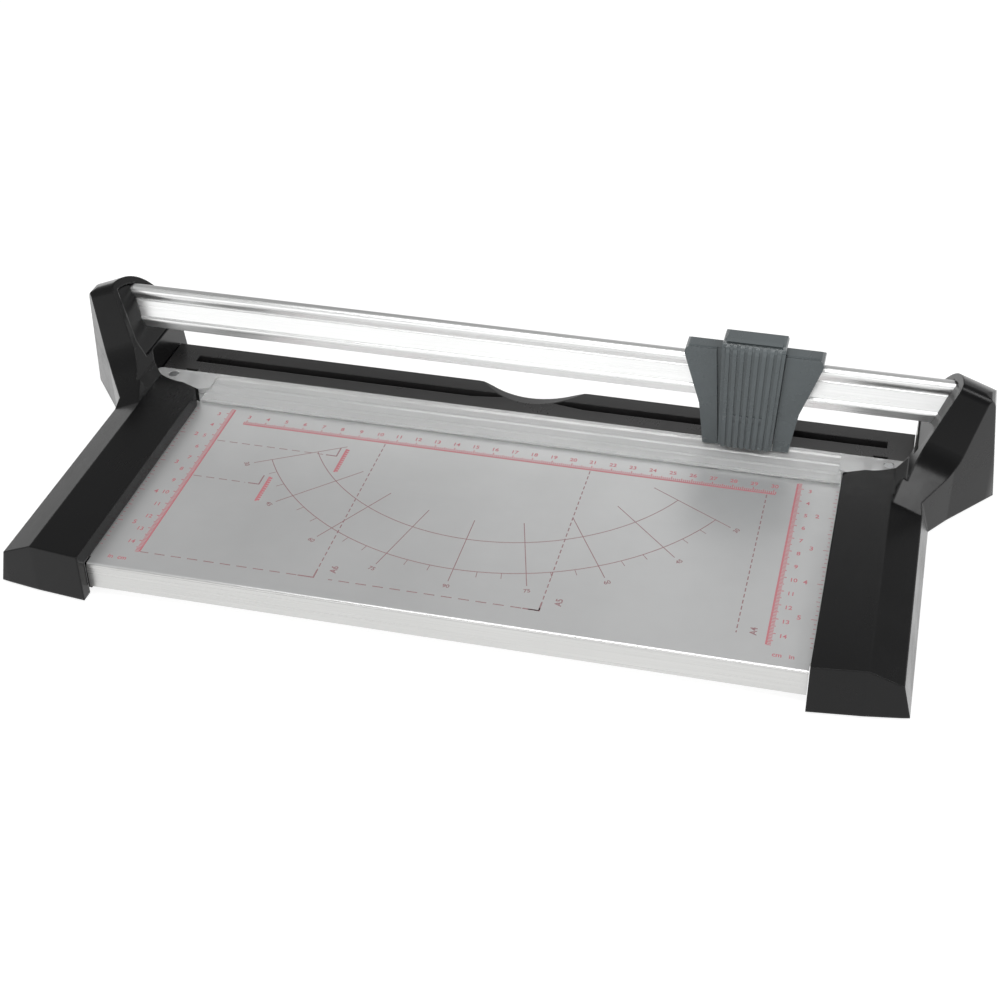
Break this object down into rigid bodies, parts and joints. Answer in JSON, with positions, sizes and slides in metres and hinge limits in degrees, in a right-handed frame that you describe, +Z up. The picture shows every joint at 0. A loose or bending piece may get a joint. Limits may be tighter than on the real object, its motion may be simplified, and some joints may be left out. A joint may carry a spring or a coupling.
{
  "type": "rotary paper trimmer",
  "caption": "Desktop rotary paper trimmer: flat ruled bed between raised arms, guide rail, clear clamp strip and a sliding pressed carriage with a round blade.",
  "frame": {"origin": "centre of the footprint at table height", "axes": "+X along the rail to the right, +Y away from the user, +Z up"},
  "size_m": [0.479, 0.206, 0.077],
  "materials": {
    "mat_aluminium": "satin anodised with a printed grid",
    "rail_aluminium": "satin anodised extrusion",
    "black_plastic": "satin moulded",
    "dark_plastic": "moulded, slightly matt",
    "grey_plastic": "moulded, satin",
    "clear_plastic": "clear acrylic",
    "white_plastic": "moulded",
    "steel": "zinc plated",
    "blade_steel": "ground",
    "rubber": "soft"
  },
  "bodies": {
    "base": {"base_plate": "mat_aluminium", "rear_bed": "dark_plastic", "cutting_strip": "white_plastic", "arm_cover_l": "black_plastic", "arm_cover_r": "black_plastic", "arm_base_l": "black_plastic", "arm_base_r": "black_plastic", "rail_seat_l": "black_plastic", "rail_seat_r": "black_plastic", "guide_rail": "rail_aluminium", "rail_screws": "steel", "seat_screws": "steel", "arm_screws": "steel", "bed_screws": "steel", "plate_screws": "steel", "rubber_feet": "rubber", "clamp_pins": "steel", "clamp_springs": "steel"},
    "clamp": {"clamp_strip": "clear_plastic"},
    "carriage": {"carriage_body": "grey_plastic", "carriage_back": "grey_plastic", "carriage_screws": "steel", "carriage_glides": "white_plastic", "press_spring": "steel"},
    "press": {"press_grip": "grey_plastic", "blade_holder": "dark_plastic", "holder_screws": "steel", "blade_washers": "steel", "blade_axle": "steel", "blade_nut": "steel"},
    "blade": {"blade": "blade_steel"}
  },
  "joints": [
    {"name": "carriage_slide", "type": "slide", "parent": "base", "child": "carriage", "axis": [1, 0, 0], "range_m": [-0.2842, 0.0518]},
    {"name": "press_slide", "type": "slide", "parent": "carriage", "child": "press", "axis": [0, 0, -1], "range_m": [0, 0.0025], "stiffness_N_per_m": 500, "springref_m": -0.002, "deforming": ["press_spring"]},
    {"name": "clamp_slide", "type": "slide", "parent": "base", "child": "clamp", "axis": [0, 0, -1], "range_m": [0, 0.001], "stiffness_N_per_m": 400, "springref_m": -0.002, "deforming": ["clamp_springs"]},
    {"name": "blade_spin", "type": "hinge", "parent": "press", "child": "blade", "pos_m": [0.1162, 0.065, 0.0342], "axis": [0, 1, 0], "continuous": true}
  ],
  "couplings": [
    {"joint": "clamp_slide", "follows": "press_slide", "ratio": 0.4},
    {"joint": "blade_spin", "follows": "carriage_slide", "rad_per_m": 71.429}
  ]
}
